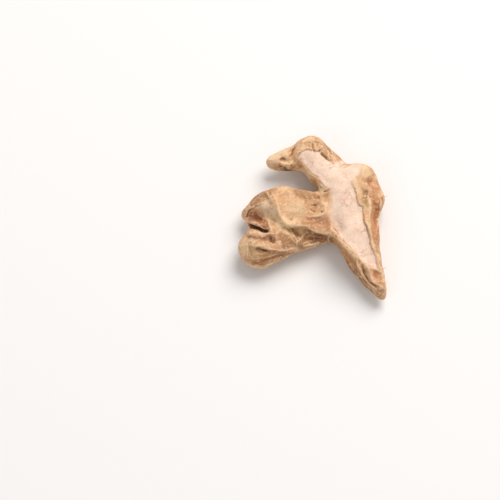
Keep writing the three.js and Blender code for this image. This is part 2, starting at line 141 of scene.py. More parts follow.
# The root's body: one rhizome of grown-together fingers, dried until its skin shrank into folds. Its
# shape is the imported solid, rounded and then cut into small even faces that can carry fine relief.
face_size = 0.44 * mm
rounding_steps = 2
same_point = 0.001 * mm  # corners nearer than this are one
root_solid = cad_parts["ginger_root"]
rough = bpy.data.objects.new("rough_root", root_solid.data.copy())
scene.collection.objects.link(rough)
mesh_edit = bmesh.new()
mesh_edit.from_mesh(rough.data)
bmesh.ops.remove_doubles(mesh_edit, verts=mesh_edit.verts, dist=same_point)
mesh_edit.to_mesh(rough.data)
mesh_edit.free()
rounding = rough.modifiers.new("rounding", "SUBSURF")
rounding.levels = rounding.render_levels = rounding_steps
even_faces = rough.modifiers.new("even_faces", "REMESH")
even_faces.mode = "VOXEL"
even_faces.voxel_size = face_size
root_mesh = bpy.data.meshes.new_from_object(rough.evaluated_get(bpy.context.evaluated_depsgraph_get()))
root_mesh.name = "dried_root"
bpy.data.objects.remove(rough)


def read(mesh, what):
    """Vertex positions or normals of a mesh as rows."""
    rows = np.empty(len(mesh.vertices) * 3)
    if what == "co":
        mesh.vertices.foreach_get("co", rows)
    else:
        mesh.vertex_normals.foreach_get("vector", rows)
    return rows.reshape(-1, 3)


def smooth(value, low, high):
    """Eases from 0 at low to 1 at high."""
    share = np.clip((value - low) / (high - low), 0, 1)
    return share * share * (3 - 2 * share)


noise_cells = 32  # bumps before the noise repeats
noise_step = 7.31  # how far one kind of noise is read from the next
noise_gain = 1.6
noise_seed = 11
lattice = np.random.default_rng(noise_seed).normal(size=(noise_cells, noise_cells, noise_cells, 3))
lattice /= np.linalg.norm(lattice, axis=-1, keepdims=True)


def gradient_noise(points, shift=0):
    """Smooth noise from about -1 to 1, one bump per unit of length."""
    points = points + shift * noise_step
    cell = np.floor(points).astype(int)
    inside = points - cell
    ease = inside**3 * (inside * (inside * 6 - 15) + 10)
    total = 0
    for corner in np.ndindex(2, 2, 2):
        arrow = lattice[tuple(((cell + corner) % noise_cells).T)]
        share = np.prod(np.where(corner, ease, 1 - ease), axis=1)
        total = total + share * np.sum(arrow * (inside - corner), axis=1)
    return total * noise_gain


# Shrinkage wrinkles run along each finger. Every finger has its line through the layout and a strength
# for its wrinkles: the arm and the knob dried wrinkled, and the other fingers almost smooth on top.
fingers = {
    "body": {"wrinkled": 0.45, "line": [(15.5, 13, 11.5), (20.8, 0, 11.5), (21.4, -13, 11)]},
    "toe": {"wrinkled": 0.4, "line": [(21.4, -12, 11), (24.2, -25, 10), (28.6, -35, 8.5), (34, -45.8, 7)]},
    "shoulder": {"wrinkled": 0.35, "line": [(16, 10, 11.5), (21.5, 18, 11.5), (27, 9.4, 11)]},
    "arm": {"wrinkled": 0.8, "line": [(14, 14, 11.5), (3.4, 26.4, 11.5), (-4.4, 34.8, 11)]},
    "knob": {"wrinkled": 0.7, "line": [(-7, 33.4, 10.5), (-25.5, 29.4, 10.5)]},
    "left_lobe": {"wrinkled": 0.4, "line": [(8, 1, 11.5), (-9, 4, 11.5), (-21, 5, 12), (-38, -1.5, 11)]},
    "lower_lobe": {
        "wrinkled": 0.45,
        "line": [(12, -6, 9.5), (-8, -10.6, 9.5), (-22, -15.6, 9.5), (-34, -18.8, 10.2)],
    },
}
swell = {"length": 14, "width": 8, "height": 0.3}
long_wrinkle = {"length": 24, "width": 6, "height": 0.34, "crest": 0.1}
short_wrinkle = {"length": 9, "width": 2.2, "height": 0.17, "crest": 0.12}
crease = {"length": 14, "width": 5, "depth": 0.45, "narrow": 0.06}
crease_places = (0.05, 0.4)  # the noise where creases begin, and where they are deepest
mean_crest = 0.3  # taken off, so that the skin between the wrinkles sinks
bend_scale = 0.6
bend_reach = 0.35
own_noise = {"bend": 5, "swell": 40, "crease_places": 60, "crease": 80}
finger_blend = 1.6  # how far one finger's wrinkles pass into the next one's
under_side = 1.7  # how much stronger the wrinkles are on the hidden side, which no one scraped or rubbed
under_turn = (-0.2, 0.4)  # the normal's height where that side ends, and where the top begins
top_turn = (0.15, 0.5)  # how far the skin faces the camera where folds begin, and where they are full

skin_point = read(root_mesh, "co") / mm + [box_centre[0], box_centre[1], 0]
skin_normal = read(root_mesh, "normal")
picture = np.stack([skin_point[:, 0], skin_point[:, 1] * sin_view + skin_point[:, 2] * cos_view], axis=1)
facing = skin_normal @ np.array(away)
on_top = smooth(facing, *top_turn)


def line_gap(points, line):
    """Distance from points to a line of several stretches, and how far along it they lie."""
    best = np.full(len(points), 1e9)
    along = np.zeros(len(points))
    line = np.asarray(line, float)
    for i, (a, b) in enumerate(zip(line[:-1], line[1:])):
        way = b - a
        t = np.clip((points - a) @ way / (way @ way), 0, 1)
        gap = np.linalg.norm(points - a - t[:, None] * way, axis=1)
        near = gap < best
        best[near] = gap[near]
        along[near] = ((i + t) / (len(line) - 1))[near]
    return best, along


def banded(points, form, shift):
    """Noise drawn out along the first coordinate, and bent so that its bands run together and apart."""
    scaled = points / [form["length"], form["width"], form["width"]]
    bend = gradient_noise(scaled * bend_scale, shift + own_noise["bend"])
    return gradient_noise(scaled + bend_reach * bend[:, None], shift)


def shrunk(points, shift):
    """Narrow ridges with broad shallow valleys between them, and a few creases."""
    height = swell["height"] * banded(points, swell, shift + own_noise["swell"])
    for wrinkle in (long_wrinkle, short_wrinkle):
        crest = np.exp(-((banded(points, wrinkle, shift) / wrinkle["crest"]) ** 2))
        height += wrinkle["height"] * (crest - mean_crest)
    few = smooth(banded(points, swell, shift + own_noise["crease_places"]), *crease_places)
    sunk = np.exp(-((banded(points, crease, shift + own_noise["crease"]) / crease["narrow"]) ** 2))
    return height - crease["depth"] * few * sunk


wrinkles = np.zeros(len(skin_point))
weights = np.zeros(len(skin_point))
for shift, finger in enumerate(fingers.values()):
    core = np.array([(a, (u - h * cos_view) / sin_view, h) for a, u, h in finger["line"]])
    gap, _ = line_gap(skin_point, core)
    way = core[-1] - core[0]
    way /= np.linalg.norm(way)
    side = np.cross([0, 0, 1], way)
    side /= np.linalg.norm(side)
    turned = skin_point @ np.stack([way, side, np.cross(way, side)], axis=1)
    weight = np.exp(-gap / finger_blend)
    wrinkles += weight * finger["wrinkled"] * shrunk(turned, shift)
    weights += weight
wrinkles *= (under_side + (1 - under_side) * smooth(skin_normal[:, 2], *under_turn)) / weights

# The scraped face: the skin was cut away along the upper side, down to pale dry flesh. Its edge is torn,
# and the skin beside it has curled up a little.
scraped_face = [
    (-12.5, 33), (-10.2, 31.3), (-8.4, 27.6), (-6, 24.4), (-3, 22.3), (-0.6, 20.3), (1, 17.2),
    (3, 15.8), (6, 15), (6.5, 11), (6.5, 7.5), (6, -1), (7.5, -7), (9.5, -10), (12, -13.5),
    (14.5, -16), (17, -18), (19.5, -20.5), (22, -24), (25, -27), (27.5, -29), (30.5, -30),
    (33, -31), (31, -23), (29, -19.5), (28, -15.5), (27.5, -12), (26, -7.5), (24.5, -3.5),
    (24, 0.5), (24, 4.5), (22, 5.5), (20.5, 8.5), (20, 12), (19, 15), (17.5, 19), (19.5, 21),
    (22.5, 24), (24, 27), (21.5, 28.5), (18, 29), (13, 31), (8, 29.5), (4, 32), (1.5, 34.5),
    (0, 36), (-4, 36.5), (-6.5, 37), (-10, 36),
]
tear_size = 2.2  # length of one tear in the skin's edge
tear_depth = 0.7
small_tear_size = 0.8
small_tear_depth = 0.3
skin_thickness = 0.3
curl = 0.25  # how far the skin beside the edge lifts
curl_back = 0.7  # how far from the edge it lifts most
curl_width = 0.7
edge_width = 0.25  # half the width of the step at the edge
too_soft = (1.2, 0.4)  # how wide a step has no tears, and how narrow a one has all
level = 1e-9  # stands in for the rise of a level stretch, which nothing crosses

outline = np.array(scraped_face + scraped_face[:1])
edge_gap, _ = line_gap(picture, outline)
crossings = np.zeros(len(picture), int)
for (ax, ay), (bx, by) in zip(outline[:-1], outline[1:]):
    spans = (ay > picture[:, 1]) != (by > picture[:, 1])
    rise = by - ay if by != ay else level
    crossings += spans & (picture[:, 0] < ax + (bx - ax) * (picture[:, 1] - ay) / rise)
scraped = np.where(crossings % 2 == 1, edge_gap, -edge_gap)
tears = tear_depth * gradient_noise(skin_point / tear_size, 3)
small_tears = small_tear_depth * gradient_noise(skin_point / small_tear_size, 4)
scraped += tears + small_tears
soft_places = [  # where the face runs softly into the skin: a line, its reach, and how soft it is there
    ([(6, 13), (6.5, -4)], 4.5, 2.2),
    ([(20.5, 20), (23, 27)], 3.5, 2.2),
    ([(9, 29.5), (20, 29)], 2.5, 1.2),
]
soft_edge = np.full(len(picture), edge_width)
for line, reach, softness in soft_places:
    soft_edge += softness * np.exp(-((line_gap(picture, line)[0] / reach) ** 2))
bare = smooth(scraped, -soft_edge, soft_edge) * on_top
torn_edge = on_top * smooth(soft_edge, *too_soft)
lip = np.exp(-(((scraped + curl_back) / curl_width) ** 2)) * torn_edge

# Folds that the shape needs sharp: crests of ridges, bottoms of creases, cracks and pits, as lines
# across and up the layout. The two numbers are how far the fold rises or sinks, and its half width.
sharp_folds = {
    "knob_top_ridge": (0.5, 1.0, [(-30, 30), (-27, 32.5), (-22, 34.5), (-17, 37.5)]),
    "arm_left_crease": (-0.7, 0.7, [(-17.5, 32.7), (-16, 34.6), (-15, 36.8), (-13.5, 41)]),
    "arm_left_ridge": (0.4, 0.7, [(-18.5, 35), (-16.8, 38), (-14.5, 41.5)]),
    "knob_ridge": (0.8, 0.8, [(-22.2, 29.8), (-20, 28.7), (-17.5, 28.7), (-15.4, 30)]),
    "knob_lower_ridge": (0.55, 0.8, [(-29.8, 27.2), (-27.8, 26.1), (-26.2, 25.3), (-22.2, 25.4)]),
    "knob_dent": (-0.4, 1.2, [(-27, 28), (-24, 27.5)]),
    "knob_hollow": (-0.7, 0.7, [(-16, 28), (-15, 27.6)]),
    "arm_rim": (0.35, 1.1, [(-16.5, 27), (-13.5, 26), (-8.5, 24), (-4.5, 20.5), (-1, 16), (1, 13)]),
    "knob_fold": (-0.6, 0.7, [(-22.5, 31.5), (-21, 32), (-19.4, 31)]),
    "knob_hook": (0.6, 0.6, [(-17, 28.2), (-17.2, 26.5), (-15.1, 25.6)]),
    "arm_hollow_swell": (0.8, 2.2, [(-14, 30), (-12, 26.5)]),
    "cut_line_of_arm": (-0.32, 0.45, [
        (-10.2, 31.3), (-8.4, 27.6), (-6, 24.4), (-3, 22.3), (-0.6, 20.3), (1, 17.2), (3, 15.3),
    ]),
    "cut_line_of_arm_top": (-0.3, 0.6, [(-13, 33), (-10, 36), (-6.5, 37), (-4, 36.5)]),
    "crack_at_the_bay": (-0.55, 0.45, [(1.5, 13), (4, 13.7), (6, 15)]),
    "arm_mark": (-0.7, 0.6, [(-3.4, 41.4), (-1.5, 41.6), (0.5, 41)]),
    "arm_crease": (-0.6, 0.5, [(-4, 40.5), (-4.1, 38.6), (-3, 35.6)]),
    "arm_flap": (0.5, 0.8, [(-2.6, 39.6), (-2.2, 37.8), (-2.5, 36)]),
    "arm_bump": (0.8, 1.3, [(0.5, 39), (1.7, 37.4)]),
    "arm_pit": (-0.9, 0.6, [(-0.8, 36.4), (0.6, 36.6)]),
    "arm_crack": (-1.2, 0.75, [(0.8, 35), (2.4, 33.6), (4.2, 31.6)]),
    "arm_crack_ridge": (0.7, 0.7, [(4, 36.2), (4.6, 34.4), (5.2, 32.2)]),
    "arm_small_crack": (-0.5, 0.5, [(5.3, 34), (6.3, 32.5)]),
    "arm_dot_a": (-0.5, 0.5, [(5.6, 28.1), (6.3, 28.5)]),
    "arm_dot_b": (-0.5, 0.5, [(7.6, 29), (8.4, 29.2)]),
    "arm_right_fold": (-0.6, 0.7, [(2.4, 41.2), (3.7, 39), (5.6, 36.1), (8.5, 33.8)]),
    "diagonal_ridge": (0.42, 0.8, [
        (-27, 13), (-24.5, 8.5), (-23.5, 4), (-22.5, 0), (-20, -3), (-18, -5), (-15.5, -6.5),
    ]),
    "lobe_top_ridge": (0.4, 0.7, [(-31.5, 14), (-29.5, 12), (-28, 9.5)]),
    "lobe_dot_a": (-0.6, 0.6, [(-39, 5.2), (-38.2, 5.4)]),
    "lobe_dot_b": (-0.5, 0.6, [(-36.6, 5.6), (-36.2, 4.6)]),
    "lobe_dot_c": (-0.5, 0.6, [(-34, 5), (-32.5, 6)]),
    "hollow_edge": (-0.6, 0.6, [
        (-33.8, 5.8), (-35.8, 4.3), (-37.2, 3.3), (-39.1, 2.6), (-40.1, 1.7), (-40.8, -0.7),
        (-42.8, -2.3),
    ]),
    "hollow_rim": (0.3, 0.6, [(-37.6, 4.4), (-39.6, 3.6), (-41.3, 1.8), (-42, -0.4)]),
    "hollow_lip": (0.5, 0.6, [
        (-42.1, -3), (-40.4, -3.6), (-37.2, -5.2), (-33.9, -6.5), (-31.5, -7.5), (-29.5, -8.1),
    ]),
    "slit": (-1.2, 1.0, [(-41, -4.8), (-37, -6.4), (-34, -8), (-32, -8.8), (-29, -9.3)]),
    "hollow_inner_edge": (0.45, 0.7, [(-35.2, 2.8), (-34.2, 0.4), (-31, -2.3), (-28.5, -2.8), (-28.4, -8)]),
    "flank_swell": (0.8, 2.2, [(-27, 7), (-26.3, 3), (-25.3, -1), (-22.8, -5), (-20, -8)]),
    "flank_line_a": (0.3, 0.6, [(-29, -3), (-27.8, -6.5), (-27, -9.5)]),
    "flank_line_b": (0.25, 0.6, [(-28, -2), (-23.5, -7.5), (-19.5, -11)]),
    "web_ridge_a": (0.4, 0.7, [(-22.5, -0.5), (-17, -8), (-12.5, -14.5)]),
    "web_ridge_b": (0.3, 0.7, [(-7.5, -9.5), (-10, -12.5), (-12.5, -15), (-13.5, -17.5)]),
    "web_dent": (-0.4, 1.6, [(-18, -13), (-15.5, -16)]),
    "lower_lobe_top_edge": (0.35, 0.6, [
        (-41, -11), (-38, -9.8), (-34.5, -9.8), (-32, -10.8), (-29, -10.4), (-24, -10.5),
    ]),
    "lower_dent_a": (-0.7, 0.8, [(-41, -12.5), (-39, -11.5), (-36, -12.3)]),
    "lower_dent_b": (-0.3, 1.0, [(-33.5, -12.8), (-32.5, -14)]),
    "lower_dent_d": (-0.8, 0.9, [(-28.5, -12), (-27.5, -14), (-26.3, -15), (-25.8, -13.6)]),
    "lower_line": (0.3, 0.6, [(-32.5, -14.5), (-31, -17)]),
    "lower_crest": (0.45, 0.7, [
        (-40, -16), (-36.5, -17.5), (-32.5, -17.5), (-30, -18.5), (-22.5, -20), (-17, -19.5),
        (-14.5, -18),
    ]),
    "lower_groove": (-0.7, 0.9, [(-36.5, -18.8), (-34, -18.9), (-31.5, -19.7), (-29, -20.2)]),
    "lower_end_fold": (-0.2, 0.7, [(-40, -16.5), (-39, -19.5), (-38.5, -23), (-40, -25)]),
    "lower_end_ridge": (0.3, 0.7, [(-41.3, -15), (-40.5, -20), (-41, -24)]),
    "lower_front_crease": (-0.4, 0.8, [
        (-34, -26), (-32.5, -26.2), (-29, -25), (-24.5, -23.5), (-20, -22.5),
    ]),
    "lower_front_edge": (0.35, 0.7, [(-29, -28.3), (-22.5, -25.8), (-17, -23)]),
    "lobe_rim": (0.55, 0.8, [
        (-19, -6), (-15.5, -6.5), (-11, -6), (-8, -6), (-4.5, -8), (-1, -9.5), (3.5, -10.5), (6, -11),
    ]),
    "under_rim_a": (0.35, 1.3, [(-15, -8.4), (-13, -9), (-10.5, -9.8)]),
    "under_rim_b": (-0.7, 0.8, [(-9, -8), (-6, -9.2), (-5, -9.8)]),
    "under_rim_c": (-0.45, 0.9, [(-4, -10.3), (0, -11.4), (4.5, -12.6)]),
    "string_a": (0.35, 0.6, [(-9, -13), (-5, -11.3), (-1, -12.2), (4, -13.2)]),
    "string_b": (0.3, 0.6, [(-9.5, -16), (-5.5, -14.5), (-1, -13.8), (4.5, -14.6)]),
    "string_c": (0.35, 0.6, [(-10, -17.5), (-6, -17), (-2, -15.7), (0, -15.2)]),
    "spur": (0.5, 0.6, [(5.5, -11), (4.7, -13.5), (6, -15.5)]),
    "bud_pit_a": (-0.6, 0.7, [(-5.4, 5.6), (-2.5, 5.4)]),
    "bud_pit_b": (-0.6, 0.7, [(-5.6, 3.4), (-4, 2.2), (-3, 1.8)]),
    "bud_pit_c": (-0.6, 0.6, [(0.2, 2.2), (1.4, 1.6)]),
    "bud_ring": (0.55, 0.7, [(1, 7.5), (3, 5), (3, 1.5), (0, -0.5), (-4.5, -1), (-8, -0.5)]),
    "bud_valley": (-0.35, 1.4, [(-9.5, 11), (-8, 8.5), (-6.8, 5), (-7.5, 1)]),
    "bud_crease": (-0.4, 0.6, [(-3, 12.5), (-1, 10.5), (0, 8.5)]),
    "under_bud_a": (-0.35, 0.9, [(-8, -2), (-3.5, -3), (1, -1)]),
    "under_bud_b": (-0.3, 0.8, [(-6, -5), (-2, -4.6), (2, -5.5)]),
    "shoulder_crease_a": (-0.4, 0.6, [(25, 13.5), (27, 13), (26, 10.5), (24.5, 8.5)]),
    "shoulder_crease_b": (-0.6, 0.5, [(27.5, 10.5), (29, 10)]),
    "shoulder_fold": (0.3, 1.2, [(24, 22), (27, 16), (29, 12)]),
    "shaft_ridge": (0.35, 0.9, [
        (27, 10), (28, 6.5), (28, 1.5), (27.5, -3), (28, -8.5), (28.5, -14), (29.5, -20),
    ]),
    "shaft_groove": (-0.25, 1.3, [(30, 8.5), (32, 5), (32, 0), (31, -5.5), (30, -12)]),
    "shaft_swell": (0.8, 1.2, [(31.5, 8), (32.2, 5.5), (32, 3.6)]),
    "shoulder_swell": (0.4, 1.5, [(28, 20.6), (28, 19)]),
    "shaft_edge": (0.35, 0.8, [(34.3, 10), (34.2, 7), (33.5, 1.5), (32.5, -4), (32, -9.5)]),
    "shaft_spots": (-0.3, 0.6, [(31, -13), (32.5, -14.5)]),
    "cut_line_of_shaft": (-0.45, 0.5, [
        (19, 15), (20.2, 12.3), (20.7, 8.4), (21.8, 5.6), (24.1, 4.5), (24.1, 0.6), (24.6, -3.4),
        (25.8, -7.3), (27.4, -11.8), (28, -15.7), (29.1, -19.6), (30.8, -23),
    ]),
    "cut_line_of_toe": (-0.4, 0.5, [
        (7.3, -6.2), (9.5, -9.5), (11.2, -12.9), (14, -15.7), (16.2, -17.4), (19, -20.5),
    ]),
    "face_crack_a": (-0.12, 0.35, [(12, 13), (13, 11), (14.5, 10.5), (17, 13)]),
    "face_crack_b": (-0.1, 0.35, [(14.5, 5.5), (16, 4.5)]),
    "face_crack_c": (-0.12, 0.35, [(17.5, 6), (19, 3.5), (20.5, 4.5)]),
    "toe_rim": (0.45, 0.8, [
        (1, -9.5), (6, -10.2), (8.4, -12.3), (11.8, -15.7), (14.6, -19), (17.4, -21.5), (20.7, -24.5),
    ]),
    "toe_pocket": (-0.45, 1.1, [(6.5, -14), (7.5, -17)]),
    "toe_flank_groove": (-0.35, 0.8, [
        (6.2, -16.8), (11.2, -22.4), (15.1, -27.4), (18.5, -31.9), (21.3, -36.4), (25.2, -40.9),
        (29.1, -43.7),
    ]),
    "toe_flank_edge": (0.4, 0.6, [(10.1, -21.8), (12.9, -26.3), (15.7, -30.8), (17.9, -33.6)]),
    "toe_flank_string_a": (0.3, 0.4, [(8, -15.4), (14, -22.8), (19, -30.4), (24, -38)]),
    "toe_flank_string_b": (-0.3, 0.4, [(9.5, -15.6), (15.5, -22.6), (20.5, -30)]),
    "toe_ridge_a": (0.75, 0.6, [
        (20.2, -25), (20.8, -27), (22.7, -31.5), (25.5, -36.2), (28.3, -39), (32, -41.8),
    ]),
    "toe_ridge_b": (0.75, 0.6, [(26, -27.6), (28.1, -32.9), (29, -37), (32.5, -39.2), (35.3, -40.9)]),
    "toe_valley": (0.2, 1.3, [(22.4, -28), (25.8, -34.7), (28.6, -38.6)]),
    "toe_crease_a": (-0.35, 0.5, [(23.4, -28), (24.4, -32.2), (26.9, -37.1), (29, -38.6)]),
    "toe_crease_b": (-0.4, 0.5, [(29, -38.6), (32.5, -42), (34, -43.5)]),
    "toe_crease_c": (-0.35, 0.5, [(18.8, -26.6), (20.6, -30.8), (23.4, -35), (25.5, -37.8)]),
    "toe_face_edge": (0.35, 0.6, [(27.4, -29.1), (32.5, -30.8), (34.2, -32.5)]),
    "toe_right_edge": (0.3, 0.8, [(34.2, -29.7), (35.3, -35), (36.4, -40), (35.8, -44)]),
}
wander = 0.35  # how far a fold strays from its line
wander_length = 3
fold_end = 0.3  # the share of its height that a fold keeps at its ends
fold_fade = (-0.02, 0.15)  # the share of its length that it fades over
fold_fall = 1.4  # how fast its sides fall
stray = wander * np.stack([gradient_noise(skin_point / wander_length, kind) for kind in (8, 9)], axis=1)
folds = np.zeros(len(skin_point))
for rise, reach, line in sharp_folds.values():
    gap, along = line_gap(picture + stray, line)
    ends = fold_end + (1 - fold_end) * smooth(along, *fold_fade) * smooth(1 - along, *fold_fade)
    folds += rise * ends * np.exp(-((gap / reach) ** 2) * fold_fall)
folds *= on_top

fine_flour = {"size": 1.1, "height": 0.06}
broad_flour = {"size": 4, "height": 0.12}
resting = (0.05, 1.5)  # the height over the table where relief begins, and where it is full
flour = fine_flour["height"] * gradient_noise(skin_point / fine_flour["size"], 21)
flour += broad_flour["height"] * gradient_noise(skin_point / broad_flour["size"], 22)
lift = (1 - bare) * wrinkles + folds + curl * lip + bare * (flour - skin_thickness)
lift *= smooth(skin_point[:, 2], *resting)
raised = (skin_point - [box_centre[0], box_centre[1], 0] + lift[:, None] * skin_normal) * mm
root_mesh.vertices.foreach_set("co", raised.ravel())
root_mesh.update()
root = bpy.data.objects.new("dried_root", root_mesh)
scene.collection.objects.link(root)
root_mesh.shade_smooth()

# What the skin's colour follows: how deep a place lies in the folds around it, which sets painted shade in
# the hollows and painted highlights on the ridges; how bare it is; the stains where it dried darker, redder,
# greener or paler; and patches of painted shade and painted light laid among those stains.
near_rounds = 5  # rounds of smoothing that take away the creases
far_rounds = 54  # and those that take away the folds
kept_share = 0.3  # what a point keeps of its own place in one round
edges = np.empty(len(root_mesh.edges) * 2, int)
root_mesh.edges.foreach_get("vertices", edges)
edges = edges.reshape(-1, 2)
degree = np.bincount(edges.ravel(), minlength=len(raised))[:, None]


def averaged(rows, rounds):
    """Every row drawn to the mean of its neighbours, several times."""
    for _ in range(rounds):
        total = np.zeros_like(rows)
        for column in range(rows.shape[1]):
            ahead = np.bincount(edges[:, 0], rows[edges[:, 1], column], len(rows))
            behind = np.bincount(edges[:, 1], rows[edges[:, 0], column], len(rows))
            total[:, column] = ahead + behind
        rows = kept_share * rows + (1 - kept_share) * total / degree
    return rows


final_normal = read(root_mesh, "normal")
near_depth = np.sum((averaged(raised, near_rounds) - raised) * final_normal, axis=1) / mm
far_depth = np.sum((averaged(raised, far_rounds) - raised) * final_normal, axis=1) / mm

# Each entry has its colour, how strong it is, how far it reaches, and its line. Most are stains of the
# skin; the ones marked below as painted are painted shade, painted highlights or painted light.
stains_and_painted_light = {
    "straw_dome": ("#D8AA7E", 0.6, 7, [(-20, 8), (-12, 8)]),
    # A painted highlight: a cream patch on the middle of the dome.
    "dome_highlight": ("#EFCDA4", 0.75, 4, [(-16.5, 4), (-13, 4), (-11, 0)]),
    "bay_shade": ("#9C6E47", 0.85, 2.6, [(-12.5, 12.8), (-8, 10.8), (-4, 10)]),
    # Painted shade on the dome's side along the bay.
    "lobe_shoulder_shade": ("#A6744B", 0.95, 3.8, [(-37, 8), (-33, 11.5), (-28.5, 14)]),
    "grey_flank": ("#EAD1B3", 0.85, 3.4, [(-30.5, 4), (-26.5, 1)]),
    # The flank's olive tan, made much paler as painted light that lifts its shade by the diagonal ridge.
    "olive_flank_and_painted_light": ("#EBCB9E", 0.95, 3.6, [(-26.5, -2), (-21.5, -6), (-17.5, -9)]),
    "red_hollow": ("#A5643C", 0.92, 3, [(-40, 0.6), (-37.5, -0.5), (-36, -3), (-30.5, -5.4)]),
    # Painted shade: near black down in the slit.
    "slit_shade": ("#3A180B", 0.95, 1.1, [(-38, -6.2), (-34, -7.9), (-30.5, -9)]),
    # Painted shade in the hollow at the back of the lower lobe.
    "lower_lobe_back_shade": ("#84563A", 0.85, 1.7, [
        (-40.5, -12), (-39, -12.5), (-34, -12.6), (-29, -12.8), (-26, -14.5),
    ]),
    "web_rust": ("#9B6A44", 0.85, 2.8, [(-21, -12), (-18, -16), (-19.6, -17.6)]),
    "lower_lobe_beige": ("#D2A580", 0.7, 1.8, [(-29, -17), (-23, -17.3)]),
    "lower_end": ("#ECC8A0", 0.7, 3, [(-42.5, -15), (-42, -20)]),
    "lower_lobe_top": ("#C99A74", 0.6, 2, [(-37, -15), (-24, -17)]),
    "lower_lobe_front": ("#A26E3D", 0.8, 3.4, [(-31, -22.5), (-23, -22)]),
    "lower_front_straw": ("#CBA475", 0.8, 3.2, [(-39, -20.5), (-36, -23.5)]),
    "lower_lobe_rust": ("#94592F", 0.8, 1.6, [(-37.5, -26.8), (-31, -26.4), (-24.6, -24), (-17.4, -20.8)]),
    # Painted shade under the rim.
    "under_rim_shade": ("#9C6A3B", 0.9, 2.6, [(-10, -11), (-4, -12), (5, -14)]),
    # Painted light: a pale tone that lifts the shade in the hollow under the rim's left end.
    "under_rim_painted_light": ("#E8C491", 0.9, 2.4, [(-17, -8), (-12, -9.6)]),
    "web_olive": ("#96693F", 0.85, 2.6, [(-13, -11.8), (-9.5, -13.5)]),
    "web_shade": ("#9A6F49", 0.8, 3, [(-19, -14.5), (-10, -15.5), (0, -15)]),
    "bud_scar": ("#CB9B72", 0.85, 3.8, [(-5.5, 4.5), (-1.5, 4)]),
    "ring_light": ("#EDB692", 0.6, 1.6, [(3.5, 3), (2.5, -1.5)]),
    "rust_below_bud": ("#B57C53", 0.8, 3.2, [(-8, -3.5), (0, -4.5), (4, -5)]),
    "arm_rim_cream": ("#E6C298", 0.8, 1.8, [(-10, 24.5), (-7, 22.8), (-3.5, 19.5), (0, 15), (2.5, 13.5)]),
    "arm_left": ("#C79466", 0.7, 2.2, [(-19, 33), (-15, 36.5)]),
    # Painted shade on the arm's side.
    "arm_side_shade": ("#A8784F", 0.8, 1.3, [(-4.5, 19.5), (-1.5, 14)]),
    # The knob's pale straw end, made brighter as painted light where it faces away from the lamp.
    "knob_straw_and_painted_light": ("#F6D3B0", 0.9, 3.4, [(-29.5, 30), (-26, 31.5), (-21, 33)]),
    "knob_hollow": ("#EAC194", 0.8, 2.6, [(-15.5, 29.5), (-11, 26)]),
    "knob_notch": ("#AA774B", 0.8, 1.2, [(-22, 31.3), (-19.5, 30.8), (-18.5, 32)]),
    # Painted shadow on the knob's underside.
    "knob_under_shade": ("#5A2C12", 0.95, 2, [(-22, 26.3), (-19, 25.2), (-16, 23.8), (-12, 21.5)]),
    "knob_lower": ("#D9AB80", 0.8, 1.8, [(-29, 26.5), (-25.5, 25.2), (-23, 25.4)]),
    "knob_ridge": ("#F2D2AC", 0.8, 1.2, [(-29.5, 30.5), (-25, 32.5), (-20, 35.5)]),
    "bump_ridge": ("#EFCBA2", 0.8, 1, [(-22, 30), (-20.5, 29), (-18, 28), (-16, 29.5)]),
    "arm_pits": ("#AE7E55", 0.7, 2.4, [(-3.5, 40), (-1, 41.3), (3, 34.5), (5, 31.5)]),
    # Painted shade on the arm's right side, along its outline.
    "arm_right_shade": ("#9C7048", 0.85, 2.8, [(4.5, 40.5), (9, 36.3), (13, 32.5)]),
    "shoulder_orange": ("#BB7E54", 0.85, 3, [(27, 20), (29.5, 17), (31.2, 14)]),
    # Painted olive-brown shade in the shoulder's hollow.
    "shoulder_olive_shade": ("#956B42", 0.85, 2.2, [(25, 13.2), (26, 11), (25.3, 9)]),
    "shoulder_tan": ("#CDA075", 0.7, 2.6, [(22.5, 20), (23.5, 15)]),
    "shoulder_cream": ("#EACDA2", 0.8, 2.6, [(25, 27), (26.5, 23.5)]),
    "cut_edge_cream": ("#EBD1A6", 0.7, 1.3, [(20.5, 17), (22, 12.5)]),
    "khaki_facet": ("#B89361", 0.8, 1.8, [(25.5, 8), (25.3, 5)]),
    "groove_orange": ("#BD7D4E", 0.9, 2.6, [(31, 8), (31.8, 2), (31, -6), (31, -13)]),
    "outer_edge": ("#9A6842", 0.8, 1.4, [(34.4, 9), (34, 3), (33, -3)]),
    "shaft_low": ("#A97D56", 0.8, 1.8, [(31.4, -14), (31.6, -20)]),
    "toe_right_cream": ("#F1D2B6", 0.6, 1.5, [(30.5, -23), (31, -26.5)]),
    "cut_edge_low": ("#E8C4A4", 0.7, 1.2, [(25.6, -5), (26.8, -10.5)]),
    # The toe flank's brown, made more orange as painted warm light in its shade.
    "flank_brown_and_warm_shade": ("#BE8148", 0.9, 2.6, [(8, -15), (14, -22), (20, -31), (25, -38.5)]),
    "flank_groove": ("#8A5A3A", 0.7, 1.4, [(6.5, -17), (15, -27.5), (21.5, -36.5), (29, -43.5)]),
    "toe_facet": ("#CF946C", 0.85, 2.4, [(29.5, -31.5), (32.5, -35.5)]),
    "toe_streak_a": ("#9A6943", 0.75, 0.9, [(18.8, -26.6), (20.6, -30.8), (23.4, -35), (25.5, -37.8)]),
    "toe_streak_b": ("#A87650", 0.7, 0.9, [(23.4, -28), (24.4, -32.2), (26.9, -37.1)]),
    "toe_streak_c": ("#94643F", 0.7, 0.9, [(29, -38.3), (32.5, -42)]),
    "toe_tip": ("#AC7C53", 0.8, 2.5, [(34.3, -38.5), (33, -42), (35, -46)]),
}
stain_and_light_turn = (-0.05, 0.25)  # how far the skin faces the camera where stains and painted light begin, and where they are full
stain_and_light_fade = (1.5, 0.35)  # how many reaches off its line each entry ends, and where it is full
stain_and_light_wander = 3  # how much more than a fold it strays
least_stain_and_light = 1e-3
torn_width = 0.45
